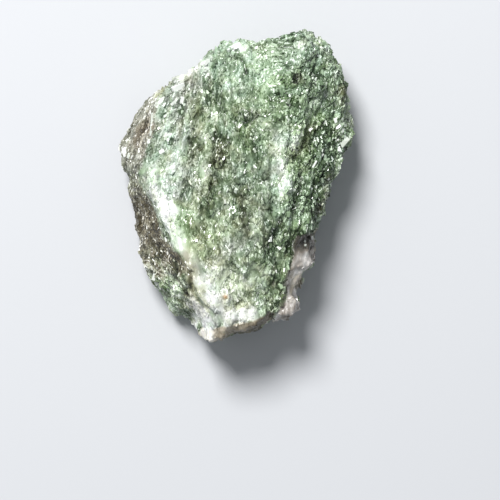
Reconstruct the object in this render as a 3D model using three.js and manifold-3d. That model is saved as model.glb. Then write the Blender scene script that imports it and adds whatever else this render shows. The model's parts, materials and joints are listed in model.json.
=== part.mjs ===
// Raw chrome diopside: one broken hand specimen of granular green rock, with a lower ledge of
// pinkish matrix along its lower right side.
//
// Frame: millimetres, +Z up. The stone lies on its flattest break, which is the plane z = 0. The
// origin is on that plane, under the middle of the stone's bounding box. +Y runs along the stone
// towards its knobbed end, and +X runs across it, from the brown weathered side to the dark side.
//
// The stone is a sphere whose rows are moved onto four outlines, one above the other:
//   crown -> rim      the broad granular face
//   rim   -> waist    the broken sides
//   waist -> foot     the undercut
//   foot  -> base     the flat break that it rests on
// The ledge is made the same way. The two are joined, and the undercut is then cut by the planes
// that chips came off along.

import * as THREE from 'three';
import { ImprovedNoise } from 'three/addons/math/ImprovedNoise.js';
import { mergeVertices } from 'three/addons/utils/BufferGeometryUtils.js';
import Module from 'manifold-3d';

// ---------------------------------------------------------------------------------------------
// Driving dimensions

const LENGTH = 27.7; // along Y
const WIDTH = 20.9; // along X
const HEIGHT = 10.6; // along Z

const FACE_ROWS = 19; // rows of facets on the broad face
const SIDE_ROWS = 8; // on the broken sides
const UNDERCUT_ROWS = 6; // below the waist
const COLUMNS = 104; // around the stone

const LEDGE_DETAIL = 0.42; // the ledge's share of the stone's rows and columns

// Roughness of the break, coarse to fine: the size of a lump and how far it stands out.
const ROUGHNESS = [
  { lump: 4.6, height: 0.6 },
  { lump: 2.2, height: 0.36 },
];
const CALM_HEIGHT = 1.2; // the roughness fades out towards the base below this height
const SOFTNESS = 0.45; // how far an edge between two planes of the face is rounded

// The grain: faint ridges in the rock that run along the face, a little off +Y.
const GRAIN_ANGLE = THREE.MathUtils.degToRad(9);
const GRAIN_SPACING = 1.5;
const GRAIN_LENGTH = 7;
const GRAIN_HEIGHT = 0.3;

// ---------------------------------------------------------------------------------------------
// Outlines, seen from above, clockwise from the knobbed end

const STONE_WAIST = [
  [5.7, 13.85], [7.3, 13.2], [8.3, 12.0], [9.4, 10.6], [10.05, 9.2], [10.1, 7.4],
  [10.4, 6.0], [10.2, 4.2], [9.5, 2.6], [8.6, 0.5], [7.8, -1.1], [6.9, -3.0],
  [6.6, -4.6], [5.7, -6.4], [4.9, -8.8], [4.3, -10.4], [3.4, -11.5], [2.6, -12.2],
  [1.2, -12.6], [-0.6, -13.3], [-1.6, -13.9], [-3.05, -14.0], [-3.7, -13.1], [-4.2, -11.6],
  [-5.9, -11.0], [-6.9, -10.2], [-7.9, -8.9], [-8.3, -7.2], [-8.9, -4.9], [-9.2, -2.6],
  [-9.9, -0.4], [-10.2, 1.6], [-10.4, 3.9], [-9.9, 5.2], [-8.9, 6.6], [-8.0, 7.6],
  [-7.2, 8.8], [-5.7, 9.2], [-4.2, 10.1], [-3.3, 11.2], [-2.3, 12.1], [-0.9, 12.45],
  [0.2, 13.0], [1.2, 12.8], [3.2, 13.05],
];

const STONE_RIM = [
  [5.6, 13.3], [7.0, 12.7], [7.9, 11.5], [8.9, 10.2], [9.4, 8.8], [9.6, 6.4],
  [9.5, 4.3], [8.8, 2.2], [7.9, 0.2], [7.2, -1.6], [6.4, -3.2], [5.3, -4.9],
  [4.6, -6.6], [4.0, -8.6], [3.6, -10.0], [2.8, -11.0], [1.4, -11.8], [-0.4, -12.4],
  [-1.8, -13.1], [-2.9, -13.2], [-3.3, -11.8], [-3.9, -10.2], [-4.0, -8.4], [-4.4, -7.0],
  [-5.3, -5.7], [-6.2, -4.2], [-6.8, -2.4], [-7.6, -0.6], [-8.2, 1.4], [-7.7, 3.2],
  [-7.4, 5.0], [-7.1, 6.6], [-6.1, 8.1], [-4.9, 9.1], [-3.6, 10.2], [-2.6, 11.4],
  [-1.2, 12.0], [0.2, 12.5], [1.6, 12.3], [3.4, 12.6],
];

const STONE_AXIS = [0.4, -0.4]; // the upright line that the stone's outlines go round
const STONE_FOOT = 0.74; // the foot's size, as a share of the waist's

// Planes that chips came off along, below the waist: a point on each and which way it faces.
const CHIPS = [
  { point: [9.5, 2.6, 2.9], facing: [0.78, -0.16, -0.6] }, // under the dark side
  { point: [9.3, 9.6, 3.7], facing: [0.74, 0.42, -0.52] }, // under its corner
  { point: [4.2, 12.7, 3.2], facing: [0.1, 0.76, -0.64] }, // under the knobbed end
  { point: [-6.6, 8.9, 1.9], facing: [-0.6, 0.58, -0.55] }, // under the weathered corner
  { point: [-9.3, -1.2, 1.2], facing: [-0.77, -0.28, -0.57] }, // under the weathered side
  { point: [-0.4, -12.9, 2.4], facing: [-0.12, -0.8, -0.58] }, // under the narrow end
  { point: [6.2, -8.2, 3.3], facing: [0.62, -0.5, -0.6] }, // under the ledge
];
const CHIP_CUTTER = 60; // side of the block that cuts a chip away

const LEDGE_WAIST = [
  [4.8, -4.4], [6.9, -3.8], [6.95, -5.2], [6.6, -6.7], [5.95, -7.5], [5.5, -8.6],
  [5.3, -9.4], [5.75, -10.3], [5.65, -10.7], [5.0, -11.2], [4.4, -11.0], [4.0, -11.5],
  [3.4, -11.5], [2.6, -11.0], [2.9, -9.0], [3.4, -6.4],
];

const LEDGE_AXIS = [4.6, -8.7];
const LEDGE_RIM = 0.84; // the rim's and the foot's size, as a share of the waist's
const LEDGE_FOOT = 0.5;

// ---------------------------------------------------------------------------------------------
// Heights above the base

// Planes that the broad face broke along: height at the crown, and rise per millimetre in X and Y.
const FACE_PLANES = [
  { height: 10.2, riseX: 0.27, riseY: -0.02 }, // left half, rising towards the middle
  { height: 13.5, riseX: -0.78, riseY: 0.03 }, // right half, falling to the dark edge
  { height: 12.1, riseX: 0.04, riseY: -0.36 }, // falling towards the knobbed end
  { height: 11.7, riseX: -0.06, riseY: 0.34 }, // falling towards the narrow end
];

// Bumps and hollows on the face. Each lies along a line from one point to another.
const FACE_FEATURES = [
  { from: [5.6, 12.8], to: [6.1, 12.5], reach: 1.1, height: 0.7 }, // end knob
  { from: [0.2, 12.2], to: [0.4, 12.6], reach: 0.7, height: 0.5 }, // pale knob
  { from: [5.4, 9.9], to: [5.1, 9.1], reach: 0.7, height: -1.0 }, // pit
  { from: [7.3, 5.5], to: [5.2, 2.3], reach: 0.8, height: -0.8 }, // valley
  { from: [4.0, 4.6], to: [4.3, 1.4], reach: 1.1, height: 0.5 }, // pale boss
  { from: [-7.0, 0.2], to: [-5.0, -5.6], reach: 1.0, height: 0.6 }, // white edge
  { from: [-2.4, -9.2], to: [-0.6, -11.2], reach: 1.2, height: 0.5 }, // white toe
  { from: [-4.3, -8.9], to: [-3.2, -11.7], reach: 0.9, height: -1.1 }, // step down beside the toe
  { from: [1.6, 7.0], to: [0.6, 1.5], reach: 1.2, height: -0.35 }, // trough along the grain
  { from: [5.6, -5.2], to: [3.8, -10.8], reach: 1.3, height: -1.3 }, // slope down to the ledge
];

// The widest level all round the stone, and how it wanders up and down.
const WAIST = { height: 3.1, riseX: 0.11, riseY: 0.06 };
const WAIST_WAVER = 1.1;
const WAIST_WAVE = 3.5; // length of one wave along the side

const LEDGE_WAIST_LEVEL = { height: 2.2, riseX: 0.45 }; // a plane that rises towards the outer edge
const LEDGE_TOP = { height: 11.5, riseX: -0.45, riseY: 0.2 }; // falls to the outer and narrow ends
const LEDGE_FEATURES = [
  { from: [5.6, -4.8], to: [6.6, -4.9], reach: 0.9, height: -0.4 }, // glassy facet
  { from: [6.0, -6.1], to: [6.1, -6.6], reach: 0.8, height: 0.5 }, // upper lump
  { from: [5.2, -7.9], to: [4.9, -8.9], reach: 0.6, height: -0.35 }, // saddle
  { from: [4.9, -10.0], to: [5.1, -10.8], reach: 0.7, height: 0.5 }, // lower lump
  { from: [3.7, -11.3], to: [3.8, -11.5], reach: 0.4, height: 0.3 }, // small lobe at its end
];

const clamp = THREE.MathUtils.clamp;
const lerp = THREE.MathUtils.lerp;
const noise = new ImprovedNoise();

// How far a point is from the line between two others, in plan.
function distanceToLine(x, y, [fromX, fromY], [toX, toY]) {
  const [alongX, alongY] = [toX - fromX, toY - fromY];
  const share = ((x - fromX) * alongX + (y - fromY) * alongY) / (alongX ** 2 + alongY ** 2);
  const nearest = clamp(share, 0, 1);
  return Math.hypot(x - fromX - nearest * alongX, y - fromY - nearest * alongY);
}

function featureHeight(x, y, features) {
  return features.reduce((sum, { from, to, reach, height }) => {
    const away = distanceToLine(x, y, from, to) / reach;
    return sum + height * Math.exp(-away * away);
  }, 0);
}

function grainHeight(x, y) {
  const along = y * Math.cos(GRAIN_ANGLE) - x * Math.sin(GRAIN_ANGLE);
  const across = x * Math.cos(GRAIN_ANGLE) + y * Math.sin(GRAIN_ANGLE);
  return GRAIN_HEIGHT * noise.noise(across / GRAIN_SPACING, along / GRAIN_LENGTH, 0);
}

// The lowest of the face's planes, with rounded edges between them, and its bumps and hollows.
function stoneTop(x, y) {
  const planes = FACE_PLANES.map((p) => p.height + p.riseX * x + p.riseY * y);
  const sum = planes.reduce((total, z) => total + Math.exp(-z / SOFTNESS), 0);
  return -SOFTNESS * Math.log(sum) + featureHeight(x, y, FACE_FEATURES) + grainHeight(x, y);
}

function ledgeTop(x, y) {
  const plane = LEDGE_TOP.height + LEDGE_TOP.riseX * x + LEDGE_TOP.riseY * y;
  return plane + featureHeight(x, y, LEDGE_FEATURES);
}

// The waist is low on the weathered side and rises, wavering, to the knobbed end and dark side.
function stoneWaistHeight(x, y) {
  const waver = WAIST_WAVER * noise.noise(x / WAIST_WAVE, y / WAIST_WAVE, 0);
  return WAIST.height + WAIST.riseX * x + WAIST.riseY * y + waver;
}

function ledgeWaistHeight(x) {
  return LEDGE_WAIST_LEVEL.height + LEDGE_WAIST_LEVEL.riseX * x;
}

// ---------------------------------------------------------------------------------------------
// Shapes

// Where a ray from the axis, at this angle, meets a closed outline that goes once round the axis.
function pointOnOutline(outline, axis, angle) {
  const [rayX, rayY] = [Math.cos(angle), Math.sin(angle)];
  let reach = 0;
  outline.forEach(([x, y], i) => {
    const [nextX, nextY] = outline[(i + 1) % outline.length];
    const [startX, startY] = [x - axis[0], y - axis[1]];
    const [sideX, sideY] = [nextX - x, nextY - y];
    const cross = rayX * sideY - rayY * sideX;
    const along = (startX * sideY - startY * sideX) / cross;
    const share = (startX * rayY - startY * rayX) / cross;
    if (along > 0 && share >= 0 && share <= 1) reach = Math.max(reach, along);
  });
  return [axis[0] + reach * rayX, axis[1] + reach * rayY];
}

// An outline drawn in towards the axis.
function drawnIn(outline, axis, share) {
  return outline.map(([x, y]) => [lerp(axis[0], x, share), lerp(axis[1], y, share)]);
}

// A closed lump with a flat base. Each vertex of a sphere is moved by its row and its angle.
function lumpGeometry({ axis, rim, waist, foot, top, waistHeight, detail }) {
  const faceRows = Math.round(FACE_ROWS * detail);
  const sideRows = Math.round(SIDE_ROWS * detail);
  const undercutRows = Math.round(UNDERCUT_ROWS * detail);
  const rows = faceRows + sideRows + undercutRows + 1;
  const columns = Math.round(COLUMNS * detail);

  const geometry = new THREE.SphereGeometry(1, columns, rows);
  const position = geometry.getAttribute('position');
  for (let i = 0; i < position.count; i++) {
    const row = Math.floor(i / (columns + 1));
    const angle = (2 * Math.PI * (i % (columns + 1))) / columns;
    const [rimX, rimY] = pointOnOutline(rim, axis, angle);
    const [waistX, waistY] = pointOnOutline(waist, axis, angle);
    const [footX, footY] = pointOnOutline(foot, axis, angle);
    const waistZ = waistHeight(waistX, waistY);
    if (row <= faceRows) {
      const out = row / faceRows;
      const x = lerp(axis[0], rimX, out);
      const y = lerp(axis[1], rimY, out);
      position.setXYZ(i, x, y, top(x, y));
    } else if (row <= faceRows + sideRows) {
      const down = (row - faceRows) / sideRows;
      const rimZ = top(rimX, rimY);
      position.setXYZ(i, lerp(rimX, waistX, down), lerp(rimY, waistY, down), lerp(rimZ, waistZ, down));
    } else if (row < rows) {
      const turn = ((row - faceRows - sideRows) / undercutRows) * (Math.PI / 2);
      const out = Math.cos(turn);
      const z = waistZ * (1 - Math.sin(turn));
      position.setXYZ(i, lerp(footX, waistX, out), lerp(footY, waistY, out), z);
    } else {
      position.setXYZ(i, axis[0], axis[1], 0);
    }
  }
  return geometry;
}

// One closed skin: the sphere's seam and poles become shared vertices.
function closed(geometry) {
  geometry.deleteAttribute('normal');
  geometry.deleteAttribute('uv');
  const skin = mergeVertices(geometry, 1e-4);
  skin.computeVertexNormals();
  return skin;
}

// Moves every vertex above the base along its normal, by the sum of the roughness layers.
function roughened(geometry) {
  const position = geometry.getAttribute('position');
  const normal = geometry.getAttribute('normal');
  const point = new THREE.Vector3();
  const out = new THREE.Vector3();
  for (let i = 0; i < position.count; i++) {
    point.fromBufferAttribute(position, i);
    out.fromBufferAttribute(normal, i);
    const calm = clamp(point.z / CALM_HEIGHT, 0, 1);
    const amount = ROUGHNESS.reduce((sum, { lump, height }) => {
      const { x, y, z } = point.clone().divideScalar(lump);
      return sum + height * noise.noise(x, y, z);
    }, 0);
    point.addScaledVector(out, amount * calm);
    position.setXYZ(i, point.x, point.y, Math.max(point.z, 0));
  }
  return geometry;
}

const stone = lumpGeometry({
  axis: STONE_AXIS,
  rim: STONE_RIM,
  waist: STONE_WAIST,
  foot: drawnIn(STONE_WAIST, STONE_AXIS, STONE_FOOT),
  top: stoneTop,
  waistHeight: stoneWaistHeight,
  detail: 1,
});

const ledge = lumpGeometry({
  axis: LEDGE_AXIS,
  rim: drawnIn(LEDGE_WAIST, LEDGE_AXIS, LEDGE_RIM),
  waist: LEDGE_WAIST,
  foot: drawnIn(LEDGE_WAIST, LEDGE_AXIS, LEDGE_FOOT),
  top: ledgeTop,
  waistHeight: ledgeWaistHeight,
  detail: LEDGE_DETAIL,
});

// ---------------------------------------------------------------------------------------------
// One solid

const wasm = await Module();
wasm.setup();

function solidOf(geometry) {
  return new wasm.Manifold(
    new wasm.Mesh({
      numProp: 3,
      vertProperties: geometry.getAttribute('position').array,
      triVerts: geometry.getIndex().array,
    }),
  );
}

function geometryOf(solid) {
  const mesh = solid.getMesh();
  const geometry = new THREE.BufferGeometry();
  geometry.setAttribute('position', new THREE.BufferAttribute(mesh.vertProperties, mesh.numProp));
  geometry.setIndex(new THREE.BufferAttribute(mesh.triVerts, 1));
  return geometry;
}

// A block that fills the far side of a chip's plane.
function chipCutter({ point, facing }) {
  const outwards = new THREE.Vector3(...facing).normalize();
  const turn = new THREE.Quaternion().setFromUnitVectors(new THREE.Vector3(0, 0, 1), outwards);
  return new THREE.BoxGeometry(CHIP_CUTTER, CHIP_CUTTER, CHIP_CUTTER)
    .translate(0, 0, CHIP_CUTTER / 2)
    .applyQuaternion(turn)
    .translate(...point);
}

const whole = solidOf(roughened(closed(stone))).add(solidOf(roughened(closed(ledge))));
const chipped = CHIPS.reduce((rock, chip) => rock.subtract(solidOf(closed(chipCutter(chip)))), whole);
const joined = geometryOf(chipped);

// The driving dimensions hold exactly, and the base's middle is the origin.
joined.computeBoundingBox();
const { min, max } = joined.boundingBox;
joined.translate(-(min.x + max.x) / 2, -(min.y + max.y) / 2, -min.z);
joined.scale(WIDTH / (max.x - min.x), LENGTH / (max.y - min.y), HEIGHT / (max.z - min.z));
joined.computeVertexNormals();

const granularGreen = new THREE.MeshStandardMaterial({
  color: 0x8aa184,
  roughness: 0.55,
  metalness: 0,
});

const diopside = new THREE.Mesh(joined, granularGreen);
diopside.name = 'diopside_stone';

const specimen = new THREE.Group();
specimen.add(diopside);

export default specimen;
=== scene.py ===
# Raw chrome diopside: the skin and the grains of one broken green stone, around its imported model.
import json
import math

import bpy
import numpy as np
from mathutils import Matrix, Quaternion, Vector, noise

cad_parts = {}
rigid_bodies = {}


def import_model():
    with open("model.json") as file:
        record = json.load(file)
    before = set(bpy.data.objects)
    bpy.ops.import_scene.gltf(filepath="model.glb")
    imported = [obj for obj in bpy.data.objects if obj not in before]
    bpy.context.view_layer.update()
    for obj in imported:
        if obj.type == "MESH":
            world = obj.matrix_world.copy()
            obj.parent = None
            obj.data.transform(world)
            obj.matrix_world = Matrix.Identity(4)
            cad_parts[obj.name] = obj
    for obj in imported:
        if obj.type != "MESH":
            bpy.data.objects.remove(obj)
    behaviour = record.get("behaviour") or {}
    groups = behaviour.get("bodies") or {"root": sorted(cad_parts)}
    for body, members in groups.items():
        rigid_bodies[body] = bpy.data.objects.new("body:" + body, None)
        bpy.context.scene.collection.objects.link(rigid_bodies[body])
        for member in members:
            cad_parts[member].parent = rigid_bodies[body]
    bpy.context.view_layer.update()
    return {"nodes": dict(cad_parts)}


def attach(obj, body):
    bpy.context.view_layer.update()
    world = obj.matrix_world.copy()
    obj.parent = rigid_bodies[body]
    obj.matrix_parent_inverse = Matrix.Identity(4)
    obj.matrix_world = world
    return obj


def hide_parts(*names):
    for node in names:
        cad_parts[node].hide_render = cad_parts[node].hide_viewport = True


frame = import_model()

MM = 0.001

# ---------------------------------------------------------------------------------------------
# Places on the stone, in millimetres: X across it, Y along it towards the knobbed end, Z up

# How the rock's grain runs, as sideways millimetres for each millimetre of Y: bowed on the left,
# leaning to the right on the right.
LEFT_BEND = 0.045
STRAIGHTEST_Y = -1  # where the bow runs straight along Y
MIDDLE_LEAN = -0.06
RIGHT_LEAN = 0.2

# The stone's widest level: its height at the middle, and its rise for each millimetre of X and Y.
WAIST_HEIGHT = 3.1
WAIST_RISE_X = 0.11
WAIST_RISE_Y = 0.06

# The edge between the weathered side and the broad face, from the knobbed end down.
WEATHERED_EDGE = [
    (-5.6, 9.6), (-6.6, 8.2), (-7.0, 6.3), (-7.25, 4.4), (-7.9, 2.6), (-8.5, 1.1), (-7.8, -0.6),
    (-6.9, -2.2), (-6.3, -4.4), (-5.1, -5.9), (-4.0, -7.2), (-3.8, -8.2), (-3.4, -9.2),
    (-3.0, -10.2), (-2.4, -11.0), (-2.3, -13.9),
]

# The edge between the green rock and the pink ledge.
LEDGE_EDGE = [
    (7.6, -3.9), (5.4, -4.4), (5.1, -5.8), (4.85, -7.0), (4.55, -8.2), (4.4, -8.9),
    (4.5, -9.5), (4.3, -10.2), (3.9, -10.9), (3.3, -11.7), (2.9, -12.2),
]

# The upper edge of the smooth beige wall at the narrow end, from left to right.
END_WALL_EDGE = [
    (-3.5, -12.6), (-2.2, -12.65), (-0.8, -12.25), (0.4, -12.1), (1.3, -11.9), (2.0, -11.7), (2.7, -11.3),
    (3.2, -11.0),
]

# Where pale matrix shows low on the sides, in ragged patches: round the narrow end and the ledge.
LOW_MATRIX = [(-3.0, -13.3), (0.5, -12.9), (3.2, -12.0), (5.4, -10.6), (5.6, -8.6), (6.8, -6.0)]

# Bosses and hollows of the broad face: the line each follows, its reach and its height.
RELIEF = [
    ([(5.7, 12.35)], 0.75, 0.55),  # pale boss on the end knob
    ([(0.3, 12.2), (0.4, 12.4)], 0.6, 0.3),  # white knob
    ([(5.4, 9.4), (5.3, 8.9)], 0.6, -0.5),  # pit
    ([(7.0, 9.3), (7.4, 8.8)], 0.5, -0.35),  # smaller pit
    ([(7.4, 5.8), (6.3, 3.9), (5.6, 2.5)], 0.5, -0.3),  # valley beside the pale boss
    ([(-3.5, 3.2), (-3.5, 1.2)], 0.4, -0.25),  # troughs along the grain
    ([(-2.3, 0.2), (-2.1, -2.4)], 0.45, -0.35),
    ([(2.6, 2.6), (2.8, 1.0)], 0.35, -0.25),
    ([(1.5, 6.4), (1.3, 4.6)], 0.8, -0.25),
    ([(3.3, -10.9), (4.2, -9.2), (4.7, -7.5)], 0.35, -0.2),  # groove above the ledge
    ([(4.3, -11.8), (4.5, -11.3)], 0.3, -0.3),  # notch in the ledge
]

# Open cracks: the line each follows, and how deep it is.
CRACKS = [
    ([(0.1, 12.0), (0.5, 11.3), (0.95, 10.4), (1.0, 9.9)], 0.4),
    ([(-3.9, -7.6), (-3.75, -9.0), (-3.2, -9.9), (-2.8, -10.5), (-2.2, -10.95), (-1.5, -11.4)], 0.3),
    ([(-2.0, 0.8), (-2.3, -0.8), (-2.2, -2.8)], 0.2),
    ([(-3.9, 4.0), (-3.6, 2.6), (-3.7, 1.2)], 0.2),
    ([(8.2, 3.8), (7.6, 2.0)], 0.12),
    ([(5.45, 9.7), (5.35, 9.0)], 0.45),
]
CRACK_WIDTH = 0.44  # of the hollow on each side of a crack

# How pale the rock is: the line each patch follows, its reach, and what it adds to the tone.
# Some patches add painted shade or painted light, as marked.
TONES = [
    # the weathered edge
    ([(-8.9, 3.9), (-7.7, 5.7)], 0.9, -0.13),
    ([(-9.4, 3.1)], 0.4, 0.12),
    ([(-8.7, 2.1), (-8.6, 1.0)], 0.7, 0.065),
    ([(-8.1, -0.6), (-7.9, -3.2)], 0.7, 0.07),
    ([(-8.0, -4.2), (-6.6, -5.6), (-5.2, -7.0)], 0.8, -0.035),
    # the knobbed end
    ([(0.33, 12.3)], 0.5, 0.4),
    ([(-3.0, 11.2), (-4.6, 9.6)], 0.6, 0.35),
    ([(1.4, 11.6), (1.9, 10.2), (2.4, 9.2)], 0.9, 0.22),
    ([(2.0, 11.6), (5.0, 11.5)], 0.8, -0.05),
    ([(-1.4, 11.6), (-0.6, 11.6)], 0.6, 0.08),
    ([(3.6, 7.4), (4.9, 7.2)], 1.0, -0.18),
    ([(7.4, 11.7), (7.0, 10.2)], 0.7, 0.12),
    ([(6.4, 7.0)], 0.6, 0.05),
    # painted shade in the smaller pit
    ([(7.2, 9.3)], 0.45, -0.3),
    ([(0.2, 10.4), (0.2, 7.4)], 0.7, 0.08),
    # the broad face
    ([(3.7, 5.0), (3.7, 2.2), (4.6, 0.0)], 0.9, 0.28),
    ([(5.4, 4.4), (5.2, 3.6)], 0.6, 0.38),
    ([(-6.6, 7.0), (-6.0, 4.6)], 1.2, 0.1),
    ([(-5.2, 4.8), (-5.1, 4.4)], 0.5, 0.2),
    ([(-5.2, 2.8), (-5.2, 0.0)], 0.9, 0.2),
    ([(-5.8, 1.2), (-1.0, 1.0)], 0.8, 0.17),
    ([(-5.6, 4.2)], 0.8, -0.05),
    ([(2.2, 2.6), (3.6, 1.2)], 0.7, 0.11),
    ([(5.0, 5.6)], 0.6, -0.06),
    ([(8.0, 5.4)], 0.6, -0.05),
    ([(-2.6, 4.4), (-2.6, 1.0)], 0.6, 0.12),
    ([(-1.2, 5.6)], 0.8, 0.11),
    ([(6.7, 5.4), (6.0, 3.7), (5.3, 2.6)], 0.4, -0.17),
    ([(5.9, 5.0), (5.0, 2.6)], 0.35, 0.06),
    ([(-3.5, 4.2), (-3.5, 1.2)], 0.5, -0.15),
    ([(-1.3, 4.0), (-1.5, 2.0)], 0.7, -0.17),
    ([(-2.2, -0.4), (-2.3, -1.8)], 0.5, -0.05),
    ([(2.7, 2.5), (2.8, 1.0)], 0.4, -0.12),
    ([(1.3, 6.0), (1.7, 2.9)], 0.9, -0.22),
    ([(-1.9, 8.8), (-1.8, 7.4)], 0.6, -0.12),
    ([(0.8, -0.8), (0.7, -2.6)], 0.8, -0.1),
    ([(0.5, -3.8)], 0.8, 0.05),
    ([(2.0, -0.4), (3.2, -2.2)], 0.7, -0.1),
    ([(-0.8, 8.0), (-1.2, -2.6)], 0.5, -0.02),
    ([(-3.8, -2.8), (-2.6, -4.4), (-1.0, -5.0)], 1.0, -0.13),
    # the dark side, which faces away from the lamp: darker rock, with some painted shade
    ([(7.6, 10.6), (7.9, 6.0), (8.2, 2.0), (6.8, -2.4)], 1.5, -0.12),
    ([(6.6, 2.6), (5.6, 0.8)], 0.7, -0.1),
    ([(6.9, -1.6), (6.4, -3.8)], 0.7, -0.2),
    ([(5.2, -3.0), (4.7, -4.6)], 0.7, 0.08),
    ([(8.2, 0.4), (7.5, -1.6)], 0.5, -0.12),
    ([(8.4, 3.6), (8.0, 1.4)], 0.8, -0.16),
    ([(9.5, 10.4), (9.6, 8.6)], 0.6, -0.08),
    ([(9.2, 5.6)], 0.35, 0.25),
    ([(10.1, 4.0)], 0.4, 0.4),
    ([(9.6, 2.9), (9.3, 1.6)], 0.6, -0.17),
    ([(8.2, 8.4), (6.6, 7.2), (6.4, 5.6)], 0.7, 0.22),
    ([(5.0, -0.2), (5.1, -0.9)], 0.7, 0.08),
    ([(3.4, -3.8), (3.7, -8.0)], 1.0, -0.21),
    ([(2.4, -8.6), (2.3, -9.8), (3.2, -10.8)], 0.8, 0.07),
    # painted shade along the groove above the ledge
    ([(3.3, -11.0), (4.0, -9.3), (4.5, -7.5), (4.9, -6.0)], 0.35, -0.18),
    # the white ridge and the white toe
    ([(-7.3, 1.0), (-6.8, -0.6), (-5.8, -2.2)], 1.0, 0.24),
    ([(-6.2, -1.6), (-5.6, -3.2), (-4.9, -4.8)], 0.8, 0.34),
    ([(-4.6, -5.4), (-3.6, -6.8)], 0.7, 0.1),
    ([(-1.4, -6.4), (-0.9, -8.4)], 0.8, 0.1),
    ([(-1.4, -7.2), (-0.6, -8.4), (2.0, -8.0)], 1.2, 0.18),
    ([(-2.5, -8.4), (-1.8, -10.6)], 0.9, 0.36),
    ([(-2.8, -11.4), (-2.4, -12.2)], 0.5, 0.12),
    ([(-2.0, -10.0), (-1.3, -10.9)], 0.5, 0.15),
    ([(1.6, -11.2), (0.4, -11.3), (-0.6, -11.8)], 0.8, 0.4),
    # the wall beside the toe: pale rock, with painted light where the wall lies in shade
    ([(-2.7, -12.6), (-3.4, -10.6)], 0.8, 0.4),
    ([(-3.75, -9.3), (-3.4, -10.8), (-2.9, -12.2)], 0.5, 0.2),
    ([(-4.1, -11.9), (-3.5, -12.6)], 0.22, -0.4),
    # the weathered side
    ([(-8.4, 6.4), (-8.6, 4.2)], 0.9, 0.1),
    ([(-8.6, 0.6), (-8.6, -4.0)], 1.0, -0.12),
    ([(-5.5, -4.9)], 0.5, 0.06),
    ([(-7.4, -4.8), (-6.4, -6.6)], 0.8, -0.07),
    ([(-7.2, -7.4), (-5.6, -8.0), (-5.0, -9.4)], 1.0, 0.25),
    # the ledge and its dark glassy end
    ([(5.4, -4.5), (6.4, -4.4)], 0.4, -0.3),
    # the dark glassy end: dark rock, darkened further as painted shade on its steep face
    ([(5.3, -5.2), (6.9, -5.3)], 0.6, -0.75),
    ([(5.8, -6.4), (6.7, -6.2)], 0.4, 0.1),
    # painted light: the ledge's steep middle is made paler where it lies in shade
    ([(5.2, -7.4), (5.2, -9.0)], 0.6, 0.2),
    ([(4.8, -9.3)], 0.5, 0.1),
    ([(4.5, -9.95), (5.0, -9.95)], 0.14, 0.3),
    ([(4.5, -10.6), (5.0, -11.2)], 0.7, -0.2),
    ([(3.7, -11.5)], 0.35, 0.15),
    # the dark strip under the white ridge, painted shade below its edge
    ([(-6.9, -3.6), (-6.2, -5.2), (-5.3, -6.6), (-4.4, -8.2), (-4.1, -9.2)], 0.5, -0.18),
]

# Small marks with clear edges: their tones do not wander.
SMALL_TONES = [
    ([(5.7, 12.35)], 0.55, 0.5),  # the boss, and the dark ring round it
    ([(5.1, 12.6), (5.4, 12.95), (5.9, 13.05), (6.35, 12.6), (6.3, 12.0)], 0.18, -0.3),
    ([(5.45, 9.7), (5.35, 9.0)], 0.36, -0.5),  # the pit, darkened as painted shade
    ([(0.3, 12.1)], 0.4, 0.25),  # the white knob
]

# Where the green is at its richest, where it is a cooler mint, and where it turns olive or ochre.
RICH_GREEN = [
    ([(-4.2, -3.4), (-3.4, -5.6), (-2.2, -4.4)], 1.1, 0.9),
    ([(3.0, 10.5), (4.4, 7.5)], 2.0, 0.5),
    ([(2.5, 7.7)], 0.6, 0.6),
    ([(4.0, 6.5)], 0.6, 0.6),
    ([(8.3, 9.0), (8.0, 4.6)], 1.6, 0.35),
    ([(7.0, 1.0), (6.0, -3.0), (5.4, -4.6)], 1.3, 0.5),
    ([(4.0, -9.6), (4.7, -7.0)], 0.5, 0.7),
    ([(-6.2, -8.4), (-4.8, -9.6)], 0.9, 0.8),
    ([(0.4, 6.6), (1.4, 3.4)], 1.0, 0.4),
    ([(6.8, 5.6), (5.2, 2.2)], 0.9, 1.5),
    ([(5.0, 0.2), (4.8, -1.0)], 0.8, 0.5),
    ([(5.2, -3.6), (4.8, -5.4)], 0.7, 0.7),
]
MINT = [
    ([(2.0, 8.6), (6.5, 6.8)], 1.6, 0.7),
    ([(-6.6, 6.6), (-5.6, 1.0)], 1.6, 0.6),
    ([(-1.0, 11.0), (3.5, 9.6), (5.5, 12.6)], 2.6, 1.0),
    ([(6.8, 9.0), (8.4, 3.0), (7.0, -2.0)], 2.2, 1.0),
    ([(5.4, 4.2)], 0.6, 1.0),
    ([(-1.0, 4.0), (3.6, 1.0), (3.6, -3.0)], 1.8, 0.4),
]
GREY = [
    ([(-5.4, 9.0), (-6.2, 6.0), (-5.2, 2.4), (-5.0, 0.6)], 1.9, 0.8),
    ([(-2.2, 11.6), (-3.0, 10.0), (-4.6, 8.8)], 1.3, 0.7),
    ([(3.4, 1.2), (2.0, -0.6)], 0.8, 0.4),
    ([(0.6, -5.0), (-2.0, -6.4), (-4.2, -5.4)], 1.0, 0.45),
    ([(-3.8, -5.6), (-2.4, -8.0)], 1.3, 0.5),
    ([(-2.4, -12.2), (0.8, -12.0)], 0.9, 0.6),
    ([(-7.6, 1.6), (-6.2, -2.0), (-5.2, -4.8)], 1.0, 0.5),
    ([(3.7, 4.6), (3.8, 1.4)], 0.7, 0.6),
    ([(0.2, 1.6), (1.0, -4.0)], 1.4, 0.3),
    ([(-5.8, -9.0)], 1.2, 0.4),
    ([(-1.8, -9.8), (0.8, -11.4)], 1.0, 1.0),
    ([(-2.8, -11.2), (-2.4, -12.4)], 0.8, 0.8),
]
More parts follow.
